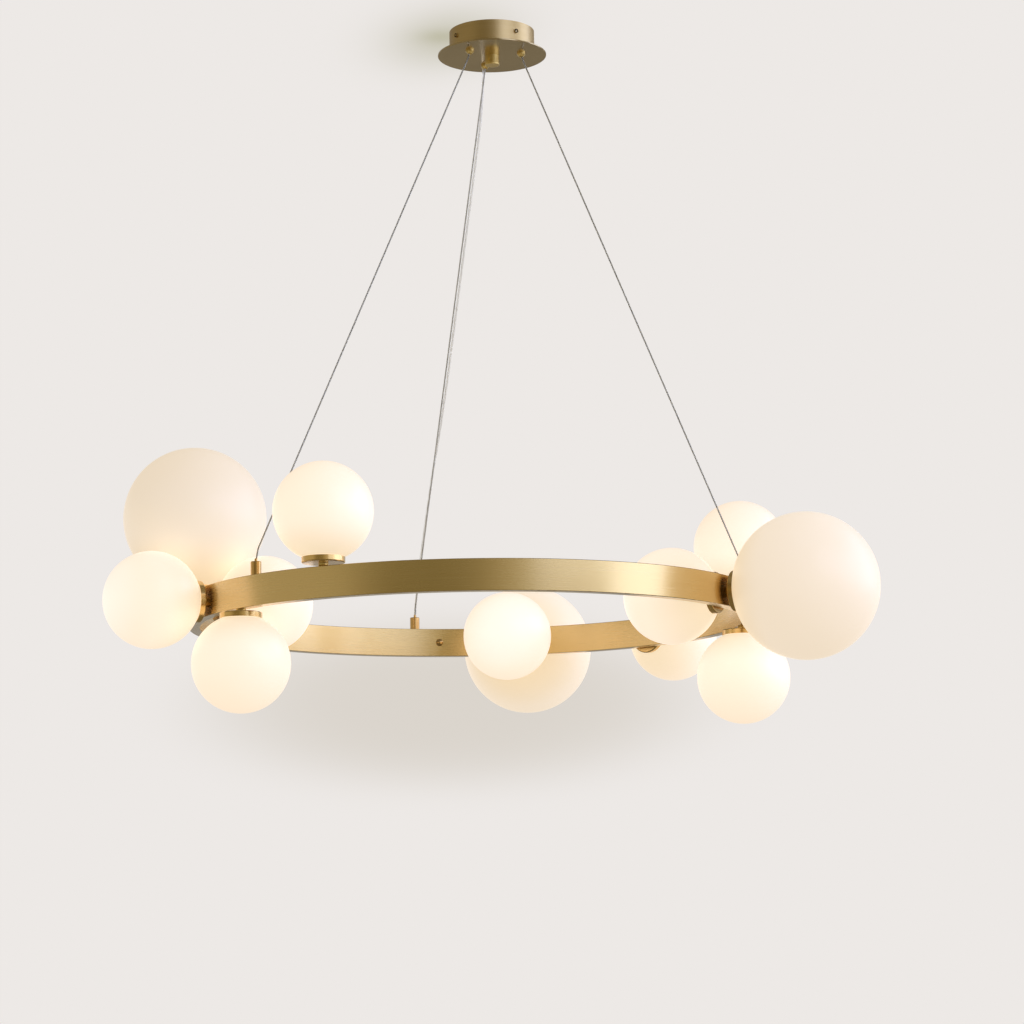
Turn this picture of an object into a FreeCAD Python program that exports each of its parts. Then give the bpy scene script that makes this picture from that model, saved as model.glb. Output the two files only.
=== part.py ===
"""Ring chandelier with twelve opal glass globes, hung on three cables from a round canopy.

Millimetres, +Z up. The origin is on the canopy's axis, in the plane of the ceiling.
+X points right and +Y away from the viewer. Azimuths are counted from +X towards +Y.
"""
import FreeCAD, Part
import math
import os

V = FreeCAD.Vector
UP = V(0, 0, 1)

# Brass ring: a hollow rectangular tube, bent to a circle
RING_OUTER_RADIUS = 360.0
RING_HEIGHT = 38.0
RING_THICKNESS = 14.0
RING_WALL = 1.5
RING_EDGE_ROUNDING = 0.6
RING_DROP = 772.0
# The globes are spread unevenly, so the ring's centre hangs to one side of the canopy's axis
RING_SHIFT_X = -38.0
RING_SHIFT_Y = -4.0
SEAM_AZIMUTH = 97.5
SPLICE_LENGTH = 36.0
SPLICE_TOP = 6.0
LOOM_RADIUS = 2.0
LOOM_HEIGHT = 11.0

# Opal glass globes
SMALL_GLOBE_RADIUS = 60.0
SMALL_GLOBE_WALL = 2.5
LARGE_GLOBE_RADIUS = 90.0
LARGE_GLOBE_WALL = 3.0
NECK_RADIUS = 23.0

# Name, face of the ring, azimuth and size of each light
LIGHTS = [
    ("01", "above", 189.5, "large"),
    ("02", "outside", 203.5, "small"),
    ("03", "above", 240.5, "small"),
    ("04", "below", 218.0, "small"),
    ("05", "inside", 203.5, "small"),
    ("06", "inside", 80.0, "small"),
    ("07", "outside", 80.0, "large"),
    ("08", "inside", -27.5, "small"),
    ("09", "above", 7.0, "small"),
    ("10", "outside", 49.0, "small"),
    ("11", "below", 7.0, "small"),
    ("12", "outside", -27.5, "large"),
]

# Fittings between the ring and each globe
COLLAR_RADIUS = 6.0
COLLAR_HEIGHT = 4.0
CAP_RADIUS = 26.0
CAP_HEIGHT = 7.0
CAP_WALL = 1.2
CAP_EDGE_ROUNDING = 1.5
NIPPLE_RADIUS = 4.0
NIPPLE_BORE_RADIUS = 2.6
NIPPLE_IN_HOLDER = 6.0
NUT_PLATE_LENGTH = 16.0
NUT_PLATE_WIDTH = 10.6
NUT_PLATE_THICKNESS = 3.0
THREAD_END = 1.0
GASKET_THICKNESS = 1.5
GASKET_INNER_RADIUS = 18.5
SNAP_RING_WIRE_RADIUS = 0.6
SNAP_RING_BELOW_RIM = 2.2

# Ceramic lampholder and two-pin lamp
HOLDER_RADIUS = 12.0
HOLDER_HEIGHT = 18.0
HOLDER_CHAMFER = 1.0
PIN_SPACING = 9.0
PIN_RADIUS = 0.9
PIN_LENGTH = 9.5
PIN_CLEARANCE = 0.4
LAMP_BASE_RADIUS = 7.0
LAMP_BASE_HEIGHT = 9.0
LAMP_RADIUS = 8.0
LAMP_TUBE_HEIGHT = 25.0

# Small fits
FIT = 0.1
SEAT_GAP = 0.3

# Suspension cables and the grips on the ring
GRIP_AZIMUTHS = [223.0, 103.0, -17.0]
CABLE_RADIUS = 1.0
CABLE_CLEARANCE = 0.3
GRIP_RADIUS = 6.5
GRIP_HEIGHT = 16.5
GRIP_CHAMFER = 0.6
GRIP_NOSE_RADIUS = 1.7
GRIP_NOSE_HEIGHT = 3.5
GRIP_BORE_DEPTH = 14.0
GRIP_STUD_RADIUS = 4.0
CABLE_VERTICAL_AT_RING = 6.0

# Canopy
DRUM_RADIUS = 56.0
DRUM_WALL = 1.5
CANOPY_DEPTH = 31.0
CEILING_GAP = 0.5
CANOPY_PLATE_RADIUS = 71.5
CANOPY_PLATE_THICKNESS = 2.0
CEILING_PLATE_THICKNESS = 1.5
CEILING_PLATE_RIM = 20.0
CEILING_PLATE_CLEARANCE = 0.5
CEILING_SCREW_SPACING = 70.0
CEILING_SCREW_HOLE_RADIUS = 2.6
SUPPLY_HOLE_RADIUS = 8.0
SUPPLY_HOLE_OFFSET = 30.0
STUD_RADIUS = 4.0
STUD_FLANGE_RADIUS = 8.0
STUD_FLANGE_THICKNESS = 2.5
STUD_SPIGOT_RADIUS = 3.0
CAP_NUT_RADIUS = 9.5
CAP_NUT_HEIGHT = 12.5
CAP_NUT_ROUNDING = 1.0
CAP_NUT_BORE_DEPTH = 10.0
SIDE_SCREW_AZIMUTHS = [-56.0, 34.0, 124.0, 214.0]
SIDE_SCREW_DEPTH = 14.0
SIDE_SCREW_RADIUS = 2.0
SIDE_SCREW_HEAD_RADIUS = 3.0
SIDE_SCREW_HEAD_HEIGHT = 1.6
SIDE_SCREW_SOCKET_RADIUS = 1.3
SIDE_SCREW_SOCKET_DEPTH = 1.1
SIDE_SCREW_END = 1.5

# Cable bushings in the canopy plate, and what holds the cables above it
BUSHING_INSIDE_DRUM = 16.0
BUSHING_FLANGE_RADIUS = 5.5
BUSHING_FLANGE_THICKNESS = 2.0
BUSHING_NOSE_WALL = 0.5
BUSHING_NOSE_HEIGHT = 3.0
BUSHING_MOUTH_RADIUS = 2.35
BUSHING_SHANK_RADIUS = 3.5
BUSHING_SHANK_ABOVE_PLATE = 6.0
BUSHING_NUT_ACROSS_FLATS = 11.0
BUSHING_NUT_THICKNESS = 3.0
FERRULE_RADIUS = 2.2
FERRULE_HEIGHT = 6.0
CABLE_TAIL = 1.5

# Clear power cord: it shares the rear grip with its cable and winds a quarter turn round it
CORD_RADIUS = 1.6
CORD_CLEARANCE = 0.15
CORD_AZIMUTH = GRIP_AZIMUTHS[1]
CORD_BEHIND_BUSHING = 8.8
GRIP_BORE_OFFSET = 1.75
CORD_BESIDE_CABLE = 3.5
CORD_VERTICAL_AT_CANOPY = 10.0
CORD_BENDS_ABOVE_CABLE = 8.0
CORD_JOINS_CABLE = 75.0
CORD_TURNS_BEHIND = [430.0, 500.0, 570.0]
CORD_BUSHING_FLANGE_RADIUS = 3.2
CORD_BUSHING_FLANGE_THICKNESS = 1.5
CORD_BUSHING_SHANK_RADIUS = 2.4
CORD_BUSHING_INSIDE = 2.5
BLOCK_LENGTH = 24.0
BLOCK_WIDTH = 16.0
BLOCK_HEIGHT = 12.0
BLOCK_CLEARANCE = 0.5
BLOCK_SCREW_RADIUS = 1.8
BLOCK_SCREW_DEPTH = 1.0
BLOCK_POLES = 3

# Domed screw that locks the ring's splice
SEAM_SCREW_HEAD_RADIUS = 5.0
SEAM_SCREW_HEAD_HEIGHT = 3.0
SEAM_SCREW_RADIUS = 2.0
SEAM_SCREW_LENGTH = 8.0

RING_INNER_RADIUS = RING_OUTER_RADIUS - RING_THICKNESS
RING_MEAN_RADIUS = RING_OUTER_RADIUS - RING_THICKNESS / 2
RING_CENTRE = V(RING_SHIFT_X, RING_SHIFT_Y, -RING_DROP)
CAP_FLOOR = COLLAR_HEIGHT + CAP_WALL
CAP_RIM = COLLAR_HEIGHT + CAP_HEIGHT
CAP_INNER_RADIUS = CAP_RADIUS - CAP_WALL
HOLDER_TOP = CAP_FLOOR + HOLDER_HEIGHT
PLATE_TOP = -CANOPY_DEPTH
PLATE_UNDERSIDE = PLATE_TOP - CANOPY_PLATE_THICKNESS
CEILING_PLATE_RADIUS = DRUM_RADIUS - DRUM_WALL - CEILING_PLATE_CLEARANCE
CEILING_RIM_INNER_RADIUS = CEILING_PLATE_RADIUS - CEILING_PLATE_THICKNESS
BUSHING_CIRCLE_RADIUS = DRUM_RADIUS - BUSHING_INSIDE_DRUM


def direction(azimuth):
    """Horizontal unit vector at an azimuth in degrees."""
    angle = math.radians(azimuth)
    return V(math.cos(angle), math.sin(angle), 0)


def revolve(edges):
    """Solid of revolution about Z from a closed profile in the XZ plane."""
    return Part.Face(Part.Wire(edges)).revolve(V(0, 0, 0), UP, 360)


def line(a, b):
    """Straight edge between two (radius, height) points of a profile."""
    return Part.makeLine(V(a[0], 0, a[1]), V(b[0], 0, b[1]))


def arc(a, b, c):
    """Round edge through three (radius, height) points of a profile."""
    return Part.Arc(V(a[0], 0, a[1]), V(b[0], 0, b[1]), V(c[0], 0, c[1])).toShape()


def polyline(points):
    """Closed chain of straight profile edges."""
    return [line(a, b) for a, b in zip(points, points[1:] + points[:1])]


def tube(outer_radius, inner_radius, low, high):
    """Round tube about Z between two heights."""
    return revolve(polyline([(inner_radius, low), (outer_radius, low), (outer_radius, high), (inner_radius, high)]))


def rod(radius, low, high, at=V(0, 0, 0), along=UP):
    """Round bar along an axis through a point, between two distances from it."""
    return Part.makeCylinder(radius, high - low, at + along * low, along)


def place(shape, at, along):
    """Copy of a shape with its +Z turned to a direction and its origin moved to a point."""
    moved = shape.copy()
    moved.Placement = FreeCAD.Placement(at, FreeCAD.Rotation(UP, along))
    return moved


def globe_size(size):
    """Outer radius and wall of a globe."""
    if size == "large":
        return LARGE_GLOBE_RADIUS, LARGE_GLOBE_WALL
    return SMALL_GLOBE_RADIUS, SMALL_GLOBE_WALL


def globe_centre_height(size):
    """Height of a globe's centre over the ring's face, where the glass just clears the cap's rim."""
    radius, wall = globe_size(size)
    return CAP_RIM + math.sqrt((radius + SEAT_GAP) ** 2 - CAP_INNER_RADIUS ** 2)


def mount_frame(face, azimuth):
    """Point on a face of the ring and the direction that the face looks to."""
    if face == "above":
        return RING_CENTRE + direction(azimuth) * RING_MEAN_RADIUS + UP * (RING_HEIGHT / 2), UP
    if face == "below":
        return RING_CENTRE + direction(azimuth) * RING_MEAN_RADIUS - UP * (RING_HEIGHT / 2), -UP
    if face == "outside":
        return RING_CENTRE + direction(azimuth) * RING_OUTER_RADIUS, direction(azimuth)
    return RING_CENTRE + direction(azimuth) * RING_INNER_RADIUS, -direction(azimuth)


def ring_band(outer_radius, inner_radius, height):
    """Flat ring of rectangular section about the ring's axis, centred on its mid-plane."""
    band = tube(outer_radius, inner_radius, -height / 2, height / 2)
    band.translate(RING_CENTRE)
    return band


def ring_outline():
    """The ring as if it were solid, which collars seat on."""
    return ring_band(RING_OUTER_RADIUS, RING_INNER_RADIUS, RING_HEIGHT)


def ring_cavity():
    """The hollow inside the ring's tube."""
    return ring_band(RING_OUTER_RADIUS - RING_WALL, RING_INNER_RADIUS + RING_WALL, RING_HEIGHT - 2 * RING_WALL)


def grip_point(azimuth):
    """Point on the ring's top face under a cable grip."""
    return RING_CENTRE + direction(azimuth) * RING_MEAN_RADIUS + UP * (RING_HEIGHT / 2)


def bushing_point(azimuth):
    """Point on the canopy plate's underside at a cable bushing."""
    return direction(azimuth) * BUSHING_CIRCLE_RADIUS + UP * PLATE_UNDERSIDE


def cord_canopy_point():
    """Point on the canopy plate's underside where the power cord leaves."""
    return bushing_point(CORD_AZIMUTH) + direction(CORD_AZIMUTH) * CORD_BEHIND_BUSHING


def cable_foot(azimuth):
    """Point on the ring's top face below a cable, which is off its grip's axis where the power cord joins it."""
    if azimuth == CORD_AZIMUTH:
        return grip_point(azimuth) - direction(azimuth) * GRIP_BORE_OFFSET
    return grip_point(azimuth)


def cord_foot():
    """Point on the ring's top face below the power cord."""
    return grip_point(CORD_AZIMUTH) + direction(CORD_AZIMUTH) * GRIP_BORE_OFFSET


def ring_tube():
    """Ring tube with its holes for nipples, grips and the seam screw."""
    outside = ring_outline()
    corners = [e for e in outside.Edges if isinstance(e.Curve, Part.Circle) and len(e.Vertexes) == 1]
    outside = outside.makeFillet(RING_EDGE_ROUNDING, corners)
    shape = outside.cut(ring_cavity())
    holes = []
    for name, face, azimuth, size in LIGHTS:
        at, along = mount_frame(face, azimuth)
        holes.append(rod(NIPPLE_RADIUS + FIT, -2 * RING_WALL, RING_WALL, at, along))
    for azimuth in GRIP_AZIMUTHS:
        holes.append(rod(GRIP_STUD_RADIUS + FIT, -2 * RING_WALL, RING_WALL, grip_point(azimuth)))
    at, along = mount_frame("inside", SEAM_AZIMUTH)
    holes.append(rod(SEAM_SCREW_RADIUS + FIT, -2 * RING_WALL, RING_WALL, at, along))
    return shape.cut(Part.makeCompound(holes))


def ring_splice():
    """Insert inside the tube that joins the ring's two ends, low enough to pass the wiring."""
    height = RING_HEIGHT / 2 - RING_WALL + SPLICE_TOP
    block = Part.makeBox(SPLICE_LENGTH, RING_THICKNESS, height)
    block.translate(V(-SPLICE_LENGTH / 2, -RING_THICKNESS / 2, RING_WALL - RING_HEIGHT / 2))
    at = RING_CENTRE + direction(SEAM_AZIMUTH) * RING_MEAN_RADIUS
    block.Placement = FreeCAD.Placement(at, FreeCAD.Rotation(UP, SEAM_AZIMUTH - 90)).multiply(block.Placement)
    at, along = mount_frame("inside", SEAM_AZIMUTH)
    hole = rod(SEAM_SCREW_RADIUS + FIT, -SEAM_SCREW_LENGTH - FIT, 0, at, along)
    return block.common(ring_cavity()).cut(hole)


def seam_screw():
    """Domed screw through the ring's inner wall into the splice."""
    rise = SEAM_SCREW_HEAD_HEIGHT
    dome = (SEAM_SCREW_HEAD_RADIUS ** 2 + rise ** 2) / (2 * rise)
    at, along = mount_frame("inside", SEAM_AZIMUTH)
    head = Part.makeSphere(dome, at + along * (rise - dome)).cut(ring_outline())
    return head.fuse(rod(SEAM_SCREW_RADIUS, -SEAM_SCREW_LENGTH, rise / 2, at, along))


def wiring_loom():
    """Bundle of wires that runs round inside the ring's tube."""
    return Part.makeTorus(RING_MEAN_RADIUS, LOOM_RADIUS, RING_CENTRE + UP * LOOM_HEIGHT, UP)


def nut_plate(at, along, hole_radius):
    """Threaded plate against the inside of the ring's wall."""
    low = -RING_WALL - NUT_PLATE_THICKNESS
    plate = Part.makeBox(NUT_PLATE_LENGTH, NUT_PLATE_WIDTH, NUT_PLATE_THICKNESS + RING_WALL)
    plate.translate(V(-NUT_PLATE_LENGTH / 2, -NUT_PLATE_WIDTH / 2, low))
    plate = plate.cut(rod(hole_radius, low - 1, 1))
    radial = (at - RING_CENTRE)
    radial.z = 0
    tangent = UP.cross(radial).normalize()
    turn = FreeCAD.Rotation(tangent, along.cross(tangent), along, "ZXY")
    plate.Placement = FreeCAD.Placement(at, turn)
    return plate.common(ring_cavity())


def collar(at, along):
    """Round spacer between the ring's face and a cap, seated on the face."""
    spacer = tube(COLLAR_RADIUS, NIPPLE_RADIUS + FIT, -RING_WALL, COLLAR_HEIGHT)
    return place(spacer, at, along).cut(ring_outline())


def nipple():
    """Threaded tube that holds cap and lampholder to the ring and carries the wires."""
    low = -RING_WALL - NUT_PLATE_THICKNESS - THREAD_END
    return tube(NIPPLE_RADIUS, NIPPLE_BORE_RADIUS, low, CAP_FLOOR + NIPPLE_IN_HOLDER)


def cap():
    """Shallow brass cup that covers the globe's neck."""
    hole = NIPPLE_RADIUS + FIT
    r, q = CAP_RADIUS, CAP_EDGE_ROUNDING
    ri, qi = CAP_INNER_RADIUS, max(CAP_EDGE_ROUNDING - CAP_WALL, FIT)
    low, floor, rim = COLLAR_HEIGHT, CAP_FLOOR, CAP_RIM
    half = 1 - math.sqrt(0.5)
    return revolve([
        line((hole, low), (r - q, low)),
        arc((r - q, low), (r - q * half, low + q * half), (r, low + q)),
        line((r, low + q), (r, rim)),
        line((r, rim), (ri, rim)),
        line((ri, rim), (ri, floor + qi)),
        arc((ri, floor + qi), (ri - qi * half, floor + qi * half), (ri - qi, floor)),
        line((ri - qi, floor), (hole, floor)),
        line((hole, floor), (hole, low)),
    ])


def gasket():
    """Flat rubber ring that cushions the neck of the globe."""
    return tube(CAP_INNER_RADIUS - SEAT_GAP, GASKET_INNER_RADIUS, CAP_FLOOR, CAP_FLOOR + GASKET_THICKNESS)


def snap_ring():
    """Sprung wire ring between the neck and the cap's wall."""
    middle = (NECK_RADIUS + CAP_INNER_RADIUS) / 2
    wire = min(SNAP_RING_WIRE_RADIUS, (CAP_INNER_RADIUS - NECK_RADIUS) / 2 - SEAT_GAP)
    return Part.makeTorus(middle, wire, V(0, 0, CAP_RIM - SNAP_RING_BELOW_RIM), UP)


def lampholder():
    """Ceramic socket with two pin holes, on the end of the nipple."""
    body = Part.makeCylinder(HOLDER_RADIUS, HOLDER_HEIGHT, V(0, 0, CAP_FLOOR))
    rims = [e for e in body.Edges if isinstance(e.Curve, Part.Circle) and e.Vertexes[0].Z > HOLDER_TOP - FIT]
    body = body.makeChamfer(HOLDER_CHAMFER, rims)
    holes = [rod(NIPPLE_RADIUS + FIT, CAP_FLOOR - 1, CAP_FLOOR + NIPPLE_IN_HOLDER + FIT)]
    for side in (-1, 1):
        at = V(side * PIN_SPACING / 2, 0, 0)
        holes.append(rod(PIN_RADIUS + PIN_CLEARANCE, HOLDER_TOP - PIN_LENGTH - PIN_CLEARANCE, HOLDER_TOP + 1, at))
    return body.cut(Part.makeCompound(holes))


def lamp():
    """Two-pin capsule lamp."""
    low = HOLDER_TOP + SEAT_GAP
    shoulder = low + LAMP_BASE_HEIGHT
    crown = shoulder + LAMP_TUBE_HEIGHT
    half = math.sqrt(0.5)
    body = revolve([
        line((0, low), (LAMP_BASE_RADIUS, low)),
        line((LAMP_BASE_RADIUS, low), (LAMP_BASE_RADIUS, shoulder)),
        line((LAMP_BASE_RADIUS, shoulder), (LAMP_RADIUS, shoulder)),
        line((LAMP_RADIUS, shoulder), (LAMP_RADIUS, crown)),
        arc((LAMP_RADIUS, crown), (LAMP_RADIUS * half, crown + LAMP_RADIUS * half), (0, crown + LAMP_RADIUS)),
        line((0, crown + LAMP_RADIUS), (0, low)),
    ])
    for side in (-1, 1):
        body = body.fuse(rod(PIN_RADIUS, HOLDER_TOP - PIN_LENGTH, low + FIT, V(side * PIN_SPACING / 2, 0, 0)))
    return body


def globe(size):
    """Opal glass globe with a short neck that stands in the cap."""
    radius, wall = globe_size(size)
    centre = globe_centre_height(size)
    inner, neck_inner = radius - wall, NECK_RADIUS - wall
    mouth = CAP_FLOOR + GASKET_THICKNESS + SEAT_GAP
    outer_foot = centre - math.sqrt(radius ** 2 - NECK_RADIUS ** 2)
    inner_foot = centre - math.sqrt(inner ** 2 - neck_inner ** 2)
    return revolve([
        line((neck_inner, mouth), (NECK_RADIUS, mouth)),
        line((NECK_RADIUS, mouth), (NECK_RADIUS, outer_foot)),
        arc((NECK_RADIUS, outer_foot), (radius, centre), (0, centre + radius)),
        line((0, centre + radius), (0, centre + inner)),
        arc((0, centre + inner), (inner, centre), (neck_inner, inner_foot)),
        line((neck_inner, inner_foot), (neck_inner, mouth)),
    ])


def cable_grip(azimuth):
    """Brass cylinder on the ring that clamps a cable, with its stud; the rear one also passes the power cord."""
    body = Part.makeCylinder(GRIP_RADIUS, GRIP_HEIGHT)
    rims = [e for e in body.Edges if isinstance(e.Curve, Part.Circle) and e.Vertexes[0].Z > GRIP_HEIGHT / 2]
    body = body.makeChamfer(GRIP_CHAMFER, rims)
    nose_top = GRIP_HEIGHT + GRIP_NOSE_HEIGHT
    stud_low = -RING_WALL - NUT_PLATE_THICKNESS - THREAD_END / 2
    cable_offset = cable_foot(azimuth) - grip_point(azimuth)
    body = body.fuse(rod(GRIP_NOSE_RADIUS, GRIP_HEIGHT - 1, nose_top, cable_offset))
    body = body.fuse(rod(GRIP_STUD_RADIUS, stud_low, 1))
    holes = [rod(CABLE_RADIUS + CABLE_CLEARANCE, GRIP_HEIGHT - GRIP_BORE_DEPTH, nose_top + 1, cable_offset)]
    if azimuth == CORD_AZIMUTH:
        offset = cord_foot() - grip_point(azimuth)
        holes.append(rod(CORD_RADIUS + CORD_CLEARANCE, stud_low - 1, nose_top + 1, offset))
    return place(body.cut(Part.makeCompound(holes)), grip_point(azimuth), UP)


def rounded_route(points, radius_of_section):
    """Tube along straight runs joined by tangent arcs, each as large as its two runs allow."""
    edges = []
    length = 0.0
    start = points[0]
    for before, corner, after in zip(points, points[1:], points[2:]):
        into = (corner - before).normalize()
        out = (after - corner).normalize()
        half_turn = into.getAngle(out) / 2
        cut_back = 0.45 * min((corner - before).Length, (after - corner).Length)
        bend = cut_back / math.tan(half_turn)
        first = corner - into * cut_back
        last = corner + out * cut_back
        to_middle = (out - into).normalize()
        middle = corner + to_middle * (bend / math.cos(half_turn) - bend)
        edges.append(Part.makeLine(start, first))
        edges.append(Part.Arc(first, middle, last).toShape())
        length += (first - start).Length + bend * 2 * half_turn
        start = last
        print("bend radius %.1f mm" % bend)
    edges.append(Part.makeLine(start, points[-1]))
    length += (points[-1] - start).Length
    section = Part.Wire([Part.Circle(points[0], points[1] - points[0], radius_of_section).toShape()])
    shape = Part.Wire(edges).makePipeShell([section], True, True)
    expected = math.pi * radius_of_section ** 2 * length
    print("length %.1f mm, volume %.3f of section times length" % (length, shape.Volume / expected))
    return shape


def cable_points(azimuth):
    """Route of a cable from above the canopy plate to the bottom of its grip."""
    top = bushing_point(azimuth)
    foot = cable_foot(azimuth)
    nose = BUSHING_FLANGE_THICKNESS + BUSHING_NOSE_HEIGHT
    tail = CANOPY_PLATE_THICKNESS + BUSHING_SHANK_ABOVE_PLATE + FERRULE_HEIGHT + CABLE_TAIL
    bend_height = GRIP_HEIGHT + GRIP_NOSE_HEIGHT + CABLE_VERTICAL_AT_RING
    return [
        top + UP * tail,
        top - UP * nose,
        foot + UP * bend_height,
        foot + UP * (GRIP_HEIGHT - GRIP_BORE_DEPTH + SEAT_GAP),
    ]


def cord_points():
    """Route of the power cord: behind its cable at both ends and to the right of it between them."""
    top, foot = cord_canopy_point(), cord_foot()
    cable = cable_points(CORD_AZIMUTH)
    along = (cable[2] - cable[1]).normalize()
    aside = V(CORD_BESIDE_CABLE, 0, 0)
    behind = direction(CORD_AZIMUTH) * CORD_BESIDE_CABLE
    between = (aside + behind).normalize() * CORD_BESIDE_CABLE
    canopy_end = CANOPY_PLATE_THICKNESS + CANOPY_DEPTH - CEILING_PLATE_THICKNESS - BLOCK_HEIGHT - SEAT_GAP
    loom_top = RING_CENTRE.z + LOOM_HEIGHT + LOOM_RADIUS + SEAT_GAP
    first, second, third = CORD_TURNS_BEHIND
    return [
        top + UP * canopy_end,
        top - UP * CORD_VERTICAL_AT_CANOPY,
        cable[1] + along * CORD_JOINS_CABLE + aside,
        cable[1] + along * first + aside,
        cable[1] + along * second + between,
        cable[1] + along * third + behind,
        V(foot.x, foot.y, cable[2].z + CORD_BENDS_ABOVE_CABLE),
        V(foot.x, foot.y, loom_top),
    ]


def cable_bushing(azimuth):
    """Flanged bushing in the canopy plate with a flared mouth that a cable comes out of."""
    flange = BUSHING_FLANGE_THICKNESS
    nose = flange + BUSHING_NOSE_HEIGHT
    top = CANOPY_PLATE_THICKNESS + BUSHING_SHANK_ABOVE_PLATE
    bore = CABLE_RADIUS + CABLE_CLEARANCE
    shape = revolve(polyline([
        (BUSHING_MOUTH_RADIUS, -nose), (BUSHING_MOUTH_RADIUS + BUSHING_NOSE_WALL, -nose), (BUSHING_FLANGE_RADIUS, -flange),
        (BUSHING_FLANGE_RADIUS, 0), (BUSHING_SHANK_RADIUS, 0), (BUSHING_SHANK_RADIUS, top), (bore, top), (bore, 0),
    ]))
    return place(shape, bushing_point(azimuth), UP)


def bushing_nut(azimuth):
    """Hexagon nut on a bushing's shank, above the canopy plate."""
    corner = BUSHING_NUT_ACROSS_FLATS / math.sqrt(3)
    corners = [direction(60 * i) * corner for i in range(7)]
    body = Part.Face(Part.makePolygon(corners)).extrude(UP * BUSHING_NUT_THICKNESS)
    body = body.cut(rod(BUSHING_SHANK_RADIUS + FIT, -1, BUSHING_NUT_THICKNESS + 1))
    return place(body, bushing_point(azimuth) + UP * CANOPY_PLATE_THICKNESS, UP)


def cable_ferrule(azimuth):
    """Crimped stop on a cable's end, resting on the bushing's shank."""
    low = CANOPY_PLATE_THICKNESS + BUSHING_SHANK_ABOVE_PLATE
    stop = tube(FERRULE_RADIUS, CABLE_RADIUS + FIT / 2, low, low + FERRULE_HEIGHT)
    return place(stop, bushing_point(azimuth), UP)


def cord_bushing():
    """Flanged sleeve in the canopy plate that the power cord comes out of."""
    bore = CORD_RADIUS + CORD_CLEARANCE
    top = CANOPY_PLATE_THICKNESS + CORD_BUSHING_INSIDE
    return place(revolve(polyline([
        (bore, -CORD_BUSHING_FLANGE_THICKNESS), (CORD_BUSHING_FLANGE_RADIUS, -CORD_BUSHING_FLANGE_THICKNESS),
        (CORD_BUSHING_FLANGE_RADIUS, 0), (CORD_BUSHING_SHANK_RADIUS, 0),
        (CORD_BUSHING_SHANK_RADIUS, top), (bore, top),
    ])), cord_canopy_point(), UP)


def ceiling_plate():
    """Steel dish screwed to the ceiling, its turned-down rim threaded for the side screws."""
    dish = Part.makeCylinder(CEILING_PLATE_RADIUS, CEILING_PLATE_RIM, V(0, 0, -CEILING_PLATE_RIM))
    hollow_top = -CEILING_PLATE_THICKNESS
    dish = dish.cut(rod(CEILING_RIM_INNER_RADIUS, -CEILING_PLATE_RIM - 1, hollow_top))
    holes = [
        rod(CEILING_SCREW_HOLE_RADIUS, hollow_top - 1, 1, V(side * CEILING_SCREW_SPACING / 2, 0, 0))
        for side in (-1, 1)
    ]
    holes.append(rod(SUPPLY_HOLE_RADIUS, hollow_top - 1, 1, V(0, -SUPPLY_HOLE_OFFSET, 0)))
    holes.append(rod(STUD_SPIGOT_RADIUS + FIT, hollow_top - 1, 1))
    for azimuth in SIDE_SCREW_AZIMUTHS:
        start, end = CEILING_RIM_INNER_RADIUS - CEILING_PLATE_THICKNESS, CEILING_PLATE_RADIUS + 1
        holes.append(rod(SIDE_SCREW_RADIUS, start, end, V(0, 0, -SIDE_SCREW_DEPTH), direction(azimuth)))
    return dish.cut(Part.makeCompound(holes))


def canopy_drum():
    """Round wall of the canopy."""
    wall = tube(DRUM_RADIUS, DRUM_RADIUS - DRUM_WALL, -CANOPY_DEPTH, -CEILING_GAP)
    holes = []
    for azimuth in SIDE_SCREW_AZIMUTHS:
        start = DRUM_RADIUS - 2 * DRUM_WALL
        holes.append(rod(SIDE_SCREW_RADIUS + FIT, start, DRUM_RADIUS + 1, V(0, 0, -SIDE_SCREW_DEPTH), direction(azimuth)))
    return wall.cut(Part.makeCompound(holes))


def canopy_plate():
    """Wide disc that closes the canopy and carries the cables."""
    disc = Part.makeCylinder(CANOPY_PLATE_RADIUS, CANOPY_PLATE_THICKNESS, V(0, 0, PLATE_UNDERSIDE))
    rims = [e for e in disc.Edges if isinstance(e.Curve, Part.Circle)]
    disc = disc.makeFillet(CANOPY_PLATE_THICKNESS * 0.25, rims)
    low, high = PLATE_UNDERSIDE - 1, PLATE_TOP + 1
    holes = [rod(STUD_RADIUS + FIT, low, high)]
    for azimuth in GRIP_AZIMUTHS:
        holes.append(rod(BUSHING_SHANK_RADIUS + FIT, -1, CANOPY_PLATE_THICKNESS + 1, bushing_point(azimuth)))
    holes.append(rod(CORD_BUSHING_SHANK_RADIUS + FIT, -1, CANOPY_PLATE_THICKNESS + 1, cord_canopy_point()))
    return disc.cut(Part.makeCompound(holes))


def centre_stud():
    """Threaded stud riveted into the ceiling plate, which the canopy plate hangs on."""
    flange_low = -CEILING_PLATE_THICKNESS - STUD_FLANGE_THICKNESS
    foot = PLATE_UNDERSIDE - CAP_NUT_BORE_DEPTH + 1
    body = rod(STUD_SPIGOT_RADIUS, flange_low, 0)
    body = body.fuse(rod(STUD_FLANGE_RADIUS, flange_low, -CEILING_PLATE_THICKNESS))
    return body.fuse(rod(STUD_RADIUS, foot, flange_low + 1)).removeSplitter()


def cap_nut():
    """Round blind nut below the canopy plate."""
    low = PLATE_UNDERSIDE - CAP_NUT_HEIGHT
    body = rod(CAP_NUT_RADIUS, low, PLATE_UNDERSIDE)
    rims = [e for e in body.Edges if isinstance(e.Curve, Part.Circle) and e.Vertexes[0].Z < low + 1]
    body = body.makeFillet(CAP_NUT_ROUNDING, rims)
    return body.cut(rod(STUD_RADIUS + FIT, PLATE_UNDERSIDE - CAP_NUT_BORE_DEPTH, PLATE_UNDERSIDE + 1))


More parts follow.
